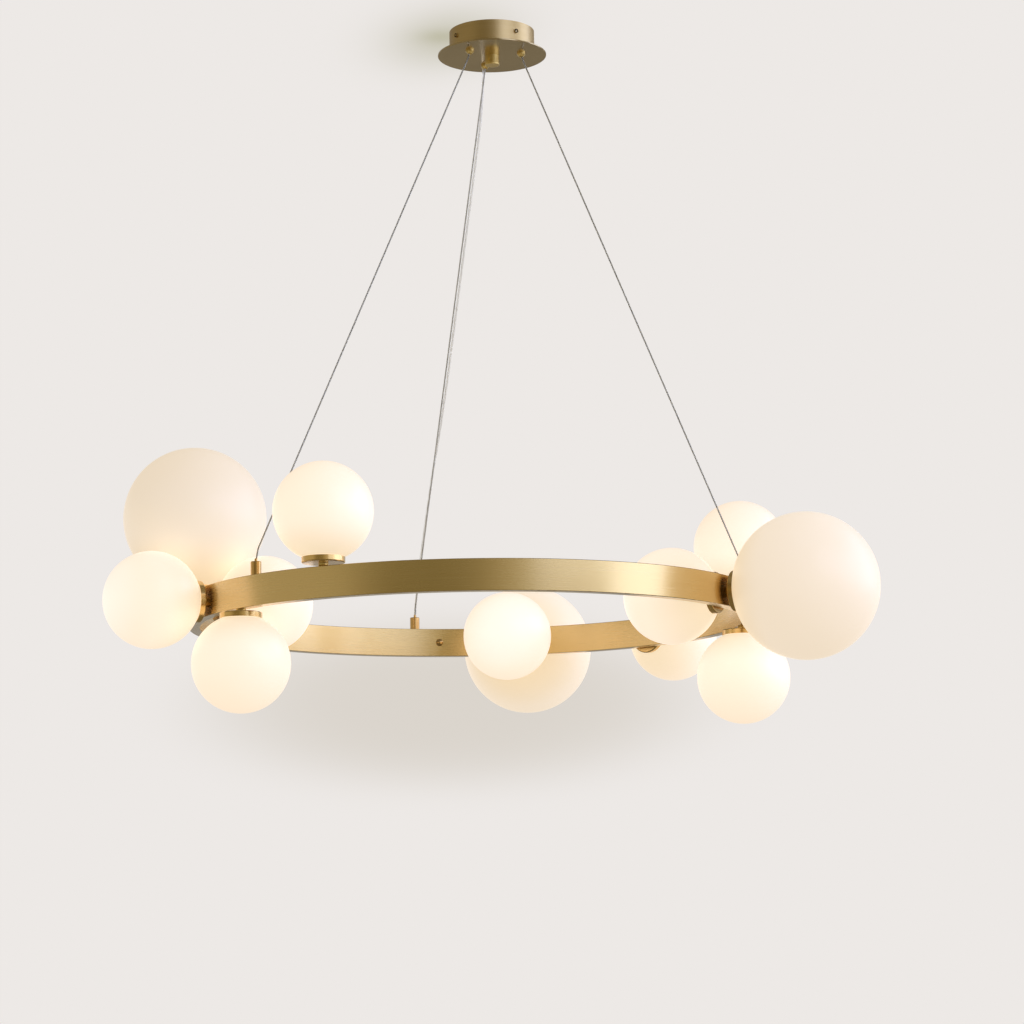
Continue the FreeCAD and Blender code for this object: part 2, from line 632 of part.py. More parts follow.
def side_screw(azimuth):
    """Socket-head screw through the drum into the ceiling plate's rim."""
    at = V(0, 0, -SIDE_SCREW_DEPTH)
    along = direction(azimuth)
    start = CEILING_RIM_INNER_RADIUS - SIDE_SCREW_END
    shank = rod(SIDE_SCREW_RADIUS, start, DRUM_RADIUS + SIDE_SCREW_HEAD_HEIGHT / 2, at, along)
    head = rod(SIDE_SCREW_HEAD_RADIUS, DRUM_RADIUS - DRUM_WALL, DRUM_RADIUS + SIDE_SCREW_HEAD_HEIGHT, at, along)
    head = head.cut(rod(DRUM_RADIUS, -CANOPY_DEPTH, 0))
    tip = DRUM_RADIUS + SIDE_SCREW_HEAD_HEIGHT
    socket = rod(SIDE_SCREW_SOCKET_RADIUS, tip - SIDE_SCREW_SOCKET_DEPTH, tip + 1, at, along)
    return head.fuse(shank).removeSplitter().cut(socket)


def terminal_block():
    """Three-pole terminal block under the ceiling plate, its outer corners just inside the rim."""
    outer = math.sqrt((CEILING_RIM_INNER_RADIUS - BLOCK_CLEARANCE) ** 2 - (BLOCK_LENGTH / 2) ** 2)
    low = -CEILING_PLATE_THICKNESS - BLOCK_HEIGHT
    body = Part.makeBox(BLOCK_WIDTH, BLOCK_LENGTH, BLOCK_HEIGHT, V(outer - BLOCK_WIDTH, -BLOCK_LENGTH / 2, low))
    holes = []
    for pole in range(BLOCK_POLES):
        at = V(outer - BLOCK_WIDTH * 0.75, BLOCK_LENGTH * ((pole + 0.5) / BLOCK_POLES - 0.5), 0)
        holes.append(rod(BLOCK_SCREW_RADIUS, low - 1, low + BLOCK_SCREW_DEPTH, at))
    body = body.cut(Part.makeCompound(holes))
    body.rotate(V(0, 0, 0), UP, CORD_AZIMUTH)
    return body


def save(name, solids):
    """Write one node, made of one or more separate solids."""
    shape = solids[0] if len(solids) == 1 else Part.makeCompound(solids)
    print(name, len(shape.Solids), "solids", "valid" if shape.isValid() else "NOT VALID", round(shape.Volume, 1))
    shape.exportStep("parts/%s.step" % name)


def save_lights():
    """The twelve lights: globes and lamps one by one, and the fittings in groups."""
    groups = {"spacer_collars": [], "nipples": [], "nut_plates": [], "gaskets": [], "snap_rings": [], "lampholders": []}
    caps = {"above": [], "below": [], "outside": [], "inside": []}
    for name, face, azimuth, size in LIGHTS:
        at, along = mount_frame(face, azimuth)
        save("globe_" + name, [place(globe(size), at, along)])
        save("lamp_" + name, [place(lamp(), at, along)])
        caps[face].append(place(cap(), at, along))
        groups["spacer_collars"].append(collar(at, along))
        groups["nipples"].append(place(nipple(), at, along))
        groups["nut_plates"].append(nut_plate(at, along, NIPPLE_RADIUS + FIT))
        groups["gaskets"].append(place(gasket(), at, along))
        groups["snap_rings"].append(place(snap_ring(), at, along))
        groups["lampholders"].append(place(lampholder(), at, along))
    for azimuth in GRIP_AZIMUTHS:
        groups["nut_plates"].append(nut_plate(grip_point(azimuth), UP, GRIP_STUD_RADIUS + FIT))
    for face, solids in caps.items():
        save("caps_" + face, solids)
    for name, solids in groups.items():
        save(name, solids)


def save_ring():
    """The ring and what is inside it."""
    save("ring_tube", [ring_tube()])
    save("ring_splice", [ring_splice()])
    save("seam_screw", [seam_screw()])
    save("wiring_loom", [wiring_loom()])


def save_suspension():
    """Cables, their fittings at both ends and the power cord."""
    save("cable_grips", [cable_grip(azimuth) for azimuth in GRIP_AZIMUTHS])
    for number, azimuth in enumerate(GRIP_AZIMUTHS, 1):
        save("cable_%d" % number, [rounded_route(cable_points(azimuth), CABLE_RADIUS)])
    save("cable_bushings", [cable_bushing(azimuth) for azimuth in GRIP_AZIMUTHS])
    save("bushing_nuts", [bushing_nut(azimuth) for azimuth in GRIP_AZIMUTHS])
    save("cable_ferrules", [cable_ferrule(azimuth) for azimuth in GRIP_AZIMUTHS])
    save("power_cord", [rounded_route(cord_points(), CORD_RADIUS)])
    save("cord_bushing", [cord_bushing()])


def save_canopy():
    """The canopy at the ceiling."""
    save("ceiling_plate", [ceiling_plate()])
    save("canopy_drum", [canopy_drum()])
    save("canopy_plate", [canopy_plate()])
    save("centre_stud", [centre_stud()])
    save("cap_nut", [cap_nut()])
    save("side_screws", [side_screw(azimuth) for azimuth in SIDE_SCREW_AZIMUTHS])
    save("terminal_block", [terminal_block()])


os.makedirs("parts", exist_ok=True)
save_lights()
save_ring()
save_suspension()
save_canopy()
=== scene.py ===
"""Looks of the ring chandelier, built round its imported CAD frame, in metres and in the row's frame."""
import math

import bpy
from mathutils import Matrix, Vector

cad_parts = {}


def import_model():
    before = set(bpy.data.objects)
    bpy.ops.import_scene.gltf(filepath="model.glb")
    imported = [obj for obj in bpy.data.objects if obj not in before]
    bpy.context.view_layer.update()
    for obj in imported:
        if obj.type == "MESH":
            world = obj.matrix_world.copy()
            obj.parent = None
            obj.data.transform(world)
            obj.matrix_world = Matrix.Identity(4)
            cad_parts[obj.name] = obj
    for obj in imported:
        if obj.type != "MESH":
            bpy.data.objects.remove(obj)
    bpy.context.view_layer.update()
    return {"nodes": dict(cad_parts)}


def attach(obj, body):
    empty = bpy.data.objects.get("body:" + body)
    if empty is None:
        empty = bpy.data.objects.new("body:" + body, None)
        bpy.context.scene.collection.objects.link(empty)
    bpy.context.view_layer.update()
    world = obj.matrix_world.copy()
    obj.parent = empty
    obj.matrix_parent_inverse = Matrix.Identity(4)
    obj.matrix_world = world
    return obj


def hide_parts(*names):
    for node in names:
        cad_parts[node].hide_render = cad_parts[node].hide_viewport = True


MM = 0.001
UP = Vector((0, 0, 1))
X, Y = Vector((1, 0, 0)), Vector((0, 1, 0))

# Layout, as in the part's source
RING_CENTRE = Vector((-38, -4, -772)) * MM
RING_OUTER_RADIUS = 360 * MM
RING_THICKNESS = 14 * MM
RING_HEIGHT = 38 * MM
RING_MEAN_RADIUS = RING_OUTER_RADIUS - RING_THICKNESS / 2
LIGHTS = [
    ("01", "above", 189.5, "large"),
    ("02", "outside", 203.5, "small"),
    ("03", "above", 240.5, "small"),
    ("04", "below", 218.0, "small"),
    ("05", "inside", 203.5, "small"),
    ("06", "inside", 80.0, "small"),
    ("07", "outside", 80.0, "large"),
    ("08", "inside", -27.5, "small"),
    ("09", "above", 7.0, "small"),
    ("10", "outside", 49.0, "small"),
    ("11", "below", 7.0, "small"),
    ("12", "outside", -27.5, "large"),
]
GLOBE_RADIUS = {"large": 90 * MM, "small": 60 * MM}
GRIP_AZIMUTHS = [223.0, 103.0, -17.0]
CORD_AZIMUTH = GRIP_AZIMUTHS[1]
CABLE_RADIUS = 1.0 * MM
CABLE_CORE_RADIUS = 0.72 * MM
CORD_RADIUS = 1.6 * MM
CANOPY_AXIS = (0, 0, 0)
DRUM_RADIUS = 56 * MM
SIDE_SCREW_AZIMUTH = 34.0
SIDE_SCREW_DEPTH = 14 * MM

# Camera that matches the photograph's view
CAMERA_FROM_RING = Vector((0, -3804.7, -467.3)) * MM
CAMERA_PITCH, CAMERA_YAW, CAMERA_ROLL = 8.905, 0.814, -0.974
CAMERA_LENS = 105.15

# Light: the colour of all soft boxes, their distance and the point that they look at
DAYLIGHT = (0.83, 1.0, 1.6)
LAMP_DISTANCE = 2.6
LAMP_AIM = Vector((0, 0, -0.6))

# Colours of the backdrop and of the shadows on the ceiling and behind the ring
BACKGROUND = (237, 233, 230)
CEILING_SHADOW = (135, 133, 53)
WALL_SHADOW = (141, 120, 51)

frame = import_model()


def linear(colour):
    """An sRGB colour in 0 to 255 as linear values."""
    values = [c / 255 for c in colour]
    return [c / 12.92 if c <= 0.04045 else ((c + 0.055) / 1.055) ** 2.4 for c in values]


def direction(azimuth):
    """Horizontal unit vector at an azimuth in degrees, from +X towards +Y."""
    angle = math.radians(azimuth)
    return Vector((math.cos(angle), math.sin(angle), 0))


def mount_frame(face, azimuth):
    """Point on a face of the ring and the direction that the face looks to."""
    if face in ("above", "below"):
        side = UP if face == "above" else -UP
        return RING_CENTRE + direction(azimuth) * RING_MEAN_RADIUS + side * (RING_HEIGHT / 2), side
    if face == "outside":
        return RING_CENTRE + direction(azimuth) * RING_OUTER_RADIUS, direction(azimuth)
    return RING_CENTRE + direction(azimuth) * (RING_OUTER_RADIUS - RING_THICKNESS), -direction(azimuth)


class Nodes:
    """Short ways to build a node tree."""

    def __init__(self, tree):
        self.tree = tree
        tree.nodes.clear()

    def add(self, kind, settings=None, **inputs):
        node = self.tree.nodes.new(kind)
        for key, value in (settings or {}).items():
            setattr(node, key, value)
        for key, value in inputs.items():
            self.put(node, key.replace("_", " "), value)
        return node

    def put(self, node, socket, value):
        """Set or link an input, which is named by its label or, as i0, i1 and so on, by its place."""
        by_place = socket[:1] == "i" and socket[1:].isdigit()
        target = node.inputs[int(socket[1:]) if by_place else socket]
        if isinstance(value, bpy.types.NodeSocket):
            self.tree.links.new(value, target)
        elif hasattr(value, "__len__") and len(value) == 3 and target.type == "RGBA":
            target.default_value = (*value, 1)
        else:
            target.default_value = value

    def math(self, operation, a, b=0.0):
        return self.add("ShaderNodeMath", {"operation": operation}, i0=a, i1=b).outputs[0]

    def vector(self, operation, a, b=(0, 0, 0)):
        node = self.add("ShaderNodeVectorMath", {"operation": operation}, i0=a, i1=b)
        return node.outputs["Value" if operation in ("DOT_PRODUCT", "LENGTH") else "Vector"]

    def join(self, x, y, z):
        return self.add("ShaderNodeCombineXYZ", X=x, Y=y, Z=z).outputs[0]

    def noise(self, vector, scale, detail=2.0, roughness=0.5):
        node = self.add("ShaderNodeTexNoise", Vector=vector, Scale=scale, Detail=detail, Roughness=roughness)
        return node.outputs["Fac"]

    def fit(self, value, low, high, to_low, to_high, smooth=False):
        kind = "SMOOTHSTEP" if smooth else "LINEAR"
        node = self.add("ShaderNodeMapRange", {"interpolation_type": kind}, Value=value)
        for key, number in (("From Min", low), ("From Max", high), ("To Min", to_low), ("To Max", to_high)):
            self.put(node, key, number)
        return node.outputs["Result"]

    def mix(self, factor, a, b):
        node = self.add("ShaderNodeMix", {"data_type": "RGBA"})
        self.put(node, "Factor", factor)
        for index, value in ((6, a), (7, b)):
            self.put(node, "i%d" % index, value)
        return node.outputs[2]

    def bump(self, height, strength, distance):
        return self.add("ShaderNodeBump", Height=height, Strength=strength, Distance=distance).outputs[0]

    def position(self):
        return self.add("ShaderNodeTexCoord").outputs["Object"]


def material(name):
    """New material whose tree holds a principled shader joined to the output."""
    made = bpy.data.materials.new(name)
    made.use_nodes = True
    nodes = Nodes(made.node_tree)
    shader = nodes.add("ShaderNodeBsdfPrincipled")
    output = nodes.add("ShaderNodeOutputMaterial")
    nodes.tree.links.new(shader.outputs[0], output.inputs[0])
    return made, nodes, shader


def around(nodes, centre):
    """Angle round a vertical axis, height and distance from the axis, of the shaded point."""
    split = nodes.add("ShaderNodeSeparateXYZ")
    nodes.put(split, "Vector", nodes.vector("SUBTRACT", nodes.position(), centre))
    x, y, z = split.outputs
    squares = [nodes.math("MULTIPLY", value, value) for value in (x, y)]
    distance = nodes.math("SQRT", nodes.math("ADD", *squares))
    return nodes.math("ARCTAN2", y, x), z, distance


# Brushed metal: waves of the grain per metre, along and across the brushing, and the depth of fine reliefs
FINE_BRUSHING = (18.0, 2600.0)
COARSE_BRUSHING = (7.0, 420.0)
METAL_RELIEF = 0.04 * MM
SMALL_RELIEF = 0.03 * MM


def finish_metal(nodes, shader, grain, wear, base, dark, light, roughness, bump=0.12, coat=0.8):
    """Colour, coat, roughness and bump of a metal from a fine grain and a slow variation."""
    tone = nodes.fit(wear, 0.3, 0.7, 0.0, 1.0)
    colour = nodes.mix(tone, linear(dark), linear(base))
    colour = nodes.mix(nodes.fit(grain, 0.45, 0.8, 0.0, 0.55), colour, linear(light))
    nodes.put(shader, "Base Color", colour)
    nodes.put(shader, "Metallic", 1.0)
    nodes.put(shader, "Coat Weight", coat)
    nodes.put(shader, "Coat Roughness", 0.2)
    from_grain = nodes.fit(grain, 0.2, 0.8, -0.05, 0.05)
    from_wear = nodes.fit(wear, 0.2, 0.8, -0.03, 0.03)
    uneven = nodes.math("ADD", from_grain, from_wear)
    nodes.put(shader, "Roughness", nodes.math("ADD", uneven, roughness))
    nodes.put(shader, "Normal", nodes.bump(grain, bump, METAL_RELIEF))


def brushed_round(name, centre, radius, base, dark, light, roughness, anisotropic, coat=0.8):
    """Metal brushed round a vertical axis, with long fine streaks."""
    made, nodes, shader = material(name)
    angle, height, distance = around(nodes, centre)
    length = nodes.math("MULTIPLY", angle, radius)
    streaks = []
    for along, across in (FINE_BRUSHING, COARSE_BRUSHING):
        parts = [nodes.math("MULTIPLY", value, waves)
                 for value, waves in ((length, along), (height, across), (distance, across))]
        streaks.append(nodes.join(*parts))
    fine = nodes.math("MULTIPLY", nodes.noise(streaks[0], 1.0, 3.0, 0.6), 0.6)
    coarse = nodes.math("MULTIPLY", nodes.noise(streaks[1], 1.0, 2.0), 0.4)
    grain = nodes.math("ADD", fine, coarse)
    wear = nodes.noise(nodes.position(), 14.0, 3.0)
    finish_metal(nodes, shader, grain, wear, base, dark, light, roughness, coat=coat)
    nodes.put(shader, "Anisotropic", anisotropic)
    tangent = nodes.add("ShaderNodeTangent", {"direction_type": "RADIAL", "axis": "Z"})
    nodes.tree.links.new(tangent.outputs[0], shader.inputs["Tangent"])
    return made


def turned_metal(name, base, dark, light, roughness, scale=900.0):
    """Small metal piece with a fine even grain."""
    made, nodes, shader = material(name)
    grain = nodes.noise(nodes.position(), scale, 4.0, 0.65)
    wear = nodes.noise(nodes.position(), 60.0, 3.0)
    finish_metal(nodes, shader, grain, wear, base, dark, light, roughness, 0.1)
    return made


# Side screw, from its axis: edge of the socket, and where the dark face, a painted shade, gives way to the
# rim
SCREW_SOCKET_RADIUS = 1.35 * MM
SCREW_PAINTED_SHADE_END, SCREW_RIM_START = 2.72 * MM, 2.84 * MM


def screw_metal_with_painted_shade(name):
    """Canopy's side screws: dark face of painted shade, brass rim, paler socket floor of painted highlight.
    """
    made, nodes, shader = material(name)
    across = [nodes.math("ABSOLUTE", nodes.vector("DOT_PRODUCT", nodes.position(), direction(azimuth)))
              for azimuth in (SIDE_SCREW_AZIMUTH, SIDE_SCREW_AZIMUTH + 90)]
    height = nodes.math("ADD", nodes.vector("DOT_PRODUCT", nodes.position(), UP), SIDE_SCREW_DEPTH)
    aside = nodes.vector("LENGTH", nodes.join(nodes.math("MINIMUM", *across), height, 0.0))
    grain = nodes.noise(nodes.position(), 1400.0, 3.0)
    # Dark face: painted shade
    face = nodes.mix(grain, linear((40, 34, 26)), linear((78, 66, 46)))
    rim = nodes.fit(aside, SCREW_PAINTED_SHADE_END, SCREW_RIM_START, 0.0, 1.0)
    colour = nodes.mix(rim, face, linear((222, 196, 132)))
    # Paler floor in the socket: painted highlight
    socket = nodes.math("LESS_THAN", aside, SCREW_SOCKET_RADIUS)
    nodes.put(shader, "Base Color", nodes.mix(socket, colour, linear((236, 214, 168))))
    nodes.put(shader, "Metallic", 1.0)
    nodes.put(shader, "Roughness", nodes.fit(grain, 0.2, 0.8, 0.24, 0.36))
    nodes.put(shader, "Normal", nodes.bump(grain, 0.2, SMALL_RELIEF))
    return made


# Opal glass: the glow's deeper and brighter colours, the brightest one, which small sideways globes have
# at their far pole as a painted highlight, the colour of the glass, and the strength of the globes that
# differ
GLOW = {
    "small": ((0.83, 0.665, 0.455), (0.98, 0.80, 0.635)),
    "large": ((0.71, 0.545, 0.345), (0.75, 0.63, 0.50)),
}
POLE_PAINTED_HIGHLIGHT = (1.00, 0.88, 0.77)
GLASS_BODY = {"small": (178, 174, 170), "large": (184, 179, 170)}
GLOW_SHARE = {"01": 0.93, "02": 0.985, "07": 1.04, "09": 0.965, "12": 1.01}
GLOW_START = 8 * MM
GLASS_RELIEF = 0.02 * MM


def depth_along(nodes, at, along):
    """Distance of the shaded point from a place, along a direction."""
    return nodes.vector("DOT_PRODUCT", nodes.vector("SUBTRACT", nodes.position(), at), along)


def opal_glass(name, at, along, size, share):
    """Satin opal glass; its glow fades near the cap and, except on small sideways globes, at the far pole."""
    made, nodes, shader = material(name)
    depth = depth_along(nodes, at, along)
    radius = GLOBE_RADIUS[size]
    sideways = abs(along.z) < 0.5 and size == "small"
    whole = GLOW_START + (1.3 if sideways else 0.75) * radius
    near = nodes.fit(depth, GLOW_START, whole, 0.0, 1.0, True)
    far = nodes.fit(depth, 1.1 * radius, 2.15 * radius, 1.0, 1.0 if sideways else 0.78, True)
    cloud = nodes.noise(nodes.position(), 22.0, 2.0)
    glow = nodes.math("MULTIPLY", near, far)
    glow = nodes.math("MULTIPLY", glow, nodes.fit(cloud, 0.3, 0.7, 0.97, 1.03))
    deep, bright = GLOW[size]
    colour = nodes.mix(glow, deep, bright)
    # Painted highlight: a whiter glow at the far pole of small sideways globes
    if sideways:
        pole = nodes.fit(depth, 1.45 * radius, 2.25 * radius, 0.0, 1.0, True)
        colour = nodes.mix(pole, colour, POLE_PAINTED_HIGHLIGHT)
    nodes.put(shader, "Base Color", linear(GLASS_BODY[size]))
    nodes.put(shader, "Roughness", 0.42)
    nodes.put(shader, "IOR", 1.5)
    nodes.put(shader, "Coat Weight", 0.55 if size == "small" else 0.0)
    nodes.put(shader, "Coat Roughness", 0.5)
    nodes.put(shader, "Emission Color", colour)
    nodes.put(shader, "Emission Strength", share)
    grain = nodes.noise(nodes.position(), 1800.0, 2.0)
    nodes.put(shader, "Normal", nodes.bump(grain, 0.08, GLASS_RELIEF))
    return made


# Lamp, along its axis from the ring's face: end of the pins, start of the glass, and where its glow fades
LAMP_PINS_END = 23.3 * MM
LAMP_GLASS_START = 32.5 * MM
LAMP_FADE_START, LAMP_FADE_END = 34 * MM, 56 * MM
LAMP_GLOW = (1.0, 0.88, 0.66)


def lamp_material(name, at, along):
    """Frosted glowing capsule on a white ceramic base with metal pins."""
    made, nodes, shader = material(name)
    depth = depth_along(nodes, at, along)
    glass = nodes.math("GREATER_THAN", depth, LAMP_GLASS_START)
    pin = nodes.math("LESS_THAN", depth, LAMP_PINS_END)
    colour = nodes.mix(glass, linear((236, 232, 222)), linear((255, 250, 238)))
    nodes.put(shader, "Base Color", nodes.mix(pin, colour, linear((190, 188, 184))))
    nodes.put(shader, "Metallic", pin)
    nodes.put(shader, "Roughness", 0.3)
    band = nodes.fit(depth, LAMP_FADE_START, LAMP_FADE_END, 1.0, 0.7, True)
    glow = nodes.mix(nodes.math("MULTIPLY", glass, band), (0, 0, 0), LAMP_GLOW)
    nodes.put(shader, "Emission Color", glow)
    nodes.put(shader, "Emission Strength", 1.2)
    return made


def plain(name, colour, roughness, variation=0.06):
    """Smooth moulded or coated surface with slight mottling."""
    made, nodes, shader = material(name)
    mottle = nodes.noise(nodes.position(), 120.0, 3.0)
    darker = [c * (1 - variation * 2) for c in linear(colour)]
    nodes.put(shader, "Base Color", nodes.mix(nodes.fit(mottle, 0.3, 0.7, 0.0, 1.0), darker, linear(colour)))
    nodes.put(shader, "Roughness", nodes.fit(mottle, 0.2, 0.8, roughness - 0.05, roughness + 0.05))
    nodes.put(shader, "Metallic", 0.0)
    grain = nodes.noise(nodes.position(), 1080.0, 2.0)
    nodes.put(shader, "Normal", nodes.bump(grain, 0.1, SMALL_RELIEF))
    return made


ring_brass = brushed_round("ring_brass", RING_CENTRE, RING_MEAN_RADIUS, (214, 185, 125), (209, 179, 119),
                           (220, 193, 136), 0.26, 0.5)
canopy_brass = brushed_round("canopy_brass", CANOPY_AXIS, DRUM_RADIUS, (214, 184, 126), (205, 174, 116),
                             (226, 199, 146), 0.35, 0.5, coat=0.25)
plate_brass = brushed_round("plate_brass", CANOPY_AXIS, DRUM_RADIUS, (206, 180, 128), (197, 170, 118),
                            (220, 196, 148), 0.17, 0.3)
cap_brass = turned_metal("cap_brass", (226, 188, 118), (220, 182, 112), (232, 198, 130), 0.24)
bright_brass = turned_metal("bright_brass", (255, 224, 140), (246, 212, 124), (255, 240, 180), 0.34)
grip_brass = turned_metal("grip_brass", (206, 164, 96), (196, 152, 84), (224, 190, 126), 0.2)
zinc = turned_metal("zinc", (168, 170, 170), (150, 152, 154), (190, 192, 190), 0.35, 300.0)
spring = turned_metal("spring", (150, 150, 150), (130, 130, 130), (180, 180, 180), 0.25)
cable_steel = turned_metal("cable_steel", (190, 182, 164), (164, 157, 142), (213, 206, 190), 0.34, 2500.0)
# Painted light: a paler copy of the same cable steel, for the rear cable
# Paler, as the rear cable looks in the photograph
rear_cable_painted_light_steel = turned_metal("rear_cable_painted_light_steel", (226, 221, 212), (200, 195, 186), (243, 239, 232), 0.34,
                                2500.0)
screws = screw_metal_with_painted_shade("screws")
ceramic = plain("ceramic", (238, 235, 226), 0.22, 0.03)
silicone = plain("silicone", (214, 210, 200), 0.55, 0.05)
insulation = plain("insulation", (206, 204, 198), 0.4)
block_plastic = plain("block_plastic", (228, 224, 210), 0.45)
conductor = turned_metal("conductor", (226, 222, 214), (210, 205, 196), (240, 237, 230), 0.3, 2500.0)

CAD_MATERIALS = {
    ring_brass: ["ring_tube"],
    canopy_brass: ["canopy_drum"],
    plate_brass: ["canopy_plate"],
    cap_brass: ["caps_above", "caps_below", "caps_outside", "caps_inside"],
    grip_brass: ["cable_grips", "seam_screw"],
    bright_brass: ["cable_bushings", "cord_bushing", "cap_nut"],
    zinc: [
        "ceiling_plate", "centre_stud", "nipples", "nut_plates", "ring_splice", "bushing_nuts",
        "cable_ferrules",
    ],
    spring: ["snap_rings"],
    screws: ["side_screws"],
    ceramic: ["lampholders"],
    silicone: ["gaskets"],
    insulation: ["wiring_loom"],
    block_plastic: ["terminal_block"],
}


def dress(node, made):
    """Give a CAD node one material."""
    mesh = frame["nodes"][node].data
    mesh.materials.clear()
    mesh.materials.append(made)


for made, names in CAD_MATERIALS.items():
    for name in names:
        dress(name, made)
for number, face, azimuth, size in LIGHTS:
    at, along = mount_frame(face, azimuth)
    dress("globe_" + number, opal_glass("opal_" + number, at, along, size, GLOW_SHARE.get(number, 1.0)))
    dress("lamp_" + number, lamp_material("lamp_glass_" + number, at, along))


def link(name, mesh, made, body):
    """Object for a new mesh, riding on a body."""
    piece = bpy.data.objects.new(name, mesh)
    bpy.context.scene.collection.objects.link(piece)
    mesh.materials.append(made)
    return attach(piece, body)


def mesh_from(name, vertices, faces, smooth=True):
    """Mesh from vertices and faces, shaded smooth unless smooth is False."""
    mesh = bpy.data.meshes.new(name)
    mesh.from_pydata([tuple(v) for v in vertices], [], faces)
    mesh.polygons.foreach_set("use_smooth", [smooth] * len(mesh.polygons))
    mesh.validate()
    mesh.update()
    return mesh


# Knurled spacer collars between the ring and the caps
COLLAR_RADIUS = 6 * MM
COLLAR_BORE = 4.1 * MM
COLLAR_HEIGHT = 4 * MM
KNURL_TEETH = 30
KNURL_DEPTH = 0.45 * MM
STEPS_PER_TOOTH = 4
COLLAR_INSET = 0.05 * MM
COLLAR_SINK = 0.3 * MM

# Rows of points up a collar: height, and whether it is knurled there
COLLAR_ROWS = [
    (-COLLAR_SINK, False),
    (0.45 * MM, False),
    (0.6 * MM, True),
    (2.0 * MM, True),
    (3.4 * MM, True),
    (3.55 * MM, False),
    (COLLAR_HEIGHT, False),
]


def collar_mesh():
    """Collars of all twelve lights: a plain lip at both ends and a knurled band between, round a bore."""
    vertices, faces = [], []
    steps = KNURL_TEETH * STEPS_PER_TOOTH
    for number, face, azimuth, size in LIGHTS:
        at, along = mount_frame(face, azimuth)
        turn = along.to_track_quat("Z", "Y").to_matrix()
        first = len(vertices)
        for index, (height, knurled) in enumerate(COLLAR_ROWS):
            for step in range(steps):
                angle = 2 * math.pi * step / steps
                twist = angle * KNURL_TEETH + index * math.pi
                radius = COLLAR_RADIUS - COLLAR_INSET
                if knurled:
                    radius -= KNURL_DEPTH * (0.5 - 0.5 * math.cos(twist))
                point = Vector((radius * math.cos(angle), radius * math.sin(angle), height))
                vertices.append(at + turn @ point)
        for height in (COLLAR_HEIGHT, -COLLAR_SINK):
            for step in range(steps):
                angle = 2 * math.pi * step / steps
                point = Vector((COLLAR_BORE * math.cos(angle), COLLAR_BORE * math.sin(angle), height))
                vertices.append(at + turn @ point)
        rings = len(COLLAR_ROWS) + 2
        for row in range(rings):
            below, above = first + row * steps, first + (row + 1) % rings * steps
            for step in range(steps):
                after = (step + 1) % steps
                faces.append((below + step, below + after, above + after, above + step))
    return mesh_from("collars", vertices, faces)


collars = link("knurled_collars", collar_mesh(), bright_brass, "fixture")
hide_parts("spacer_collars")


# Cables and power cord
PLATE_UNDERSIDE = -33 * MM
BUSHING_CIRCLE_RADIUS = 40 * MM
CABLE_TOP = 15.5 * MM
BUSHING_NOSE = 5 * MM
BEND_ABOVE_RING = 26 * MM
GRIP_BORE_END = 2.8 * MM
GRIP_BORE_OFFSET = 1.75 * MM
CORD_BEHIND_BUSHING = 8.8 * MM
CORD_TOP = 19.2 * MM
CORD_VERTICAL = 10 * MM
CORD_BEND_ABOVE_RING = 34 * MM
CORD_END_BELOW_RING_TOP = 5.7 * MM
CORD_BESIDE_CABLE = 3.5 * MM
CORD_JOINS_CABLE = 75 * MM
CORD_TURNS_BEHIND = (430 * MM, 500 * MM, 570 * MM)


def bushing_point(azimuth):
    """Point on the canopy plate's underside at a cable bushing."""
    return direction(azimuth) * BUSHING_CIRCLE_RADIUS + UP * PLATE_UNDERSIDE


def ring_top_point(azimuth, outwards=0.0):
    """Point on the ring's top face at a grip."""
    return RING_CENTRE + direction(azimuth) * (RING_MEAN_RADIUS + outwards) + UP * (RING_HEIGHT / 2)


def towards(start, end, distance):
    """Point on the way from start to end."""
    return start + (end - start).normalized() * distance


def cable_points(azimuth):
    """Route of a cable; its long run has a point as far from each end as the short run there is long."""
    top = bushing_point(azimuth)
    foot = ring_top_point(azimuth, -GRIP_BORE_OFFSET if azimuth == CORD_AZIMUTH else 0.0)
    points = [
        top + UP * CABLE_TOP,
        top - UP * BUSHING_NOSE,
        foot + UP * BEND_ABOVE_RING,
        foot + UP * GRIP_BORE_END,
    ]
    upper = towards(points[1], points[2], (points[0] - points[1]).length)
    lower = towards(points[2], points[1], (points[3] - points[2]).length)
    return points[:2] + [upper, lower] + points[2:]


def cord_points():
    """Route of the power cord beside its cable."""
    route = cable_points(CORD_AZIMUTH)
    above, below = route[1], route[4]
    along = (below - above).normalized()
    outwards = direction(CORD_AZIMUTH)
    aside = Vector((CORD_BESIDE_CABLE, 0, 0))
    behind = outwards * CORD_BESIDE_CABLE
    between = (aside + behind).normalized() * CORD_BESIDE_CABLE
    top = bushing_point(CORD_AZIMUTH) + outwards * CORD_BEHIND_BUSHING
    foot = ring_top_point(CORD_AZIMUTH, GRIP_BORE_OFFSET)
    first, second, third = CORD_TURNS_BEHIND
    joins = above + along * CORD_JOINS_CABLE + aside
    leaves = above + along * first + aside
    bend = top - UP * CORD_VERTICAL
    return [
        top + UP * CORD_TOP,
        bend,
        joins,
        towards(joins, leaves, (joins - bend).length),
        towards(leaves, joins, second - first),
        leaves,
        above + along * second + between,
        above + along * third + behind,
        foot + UP * CORD_BEND_ABOVE_RING,
        foot - UP * CORD_END_BELOW_RING_TOP,
    ]


def route_curve(name, points):
    """Smooth curve with the route's points as its control points."""
    curve = bpy.data.curves.new(name, "CURVE")
    curve.dimensions = "3D"
    curve.resolution_u = 24
    spline = curve.splines.new("NURBS")
    spline.points.add(len(points) - 1)
    for target, point in zip(spline.points, points):
        target.co = (*point, 1)
    spline.order_u = 3
    spline.use_endpoint_u = True
    return curve


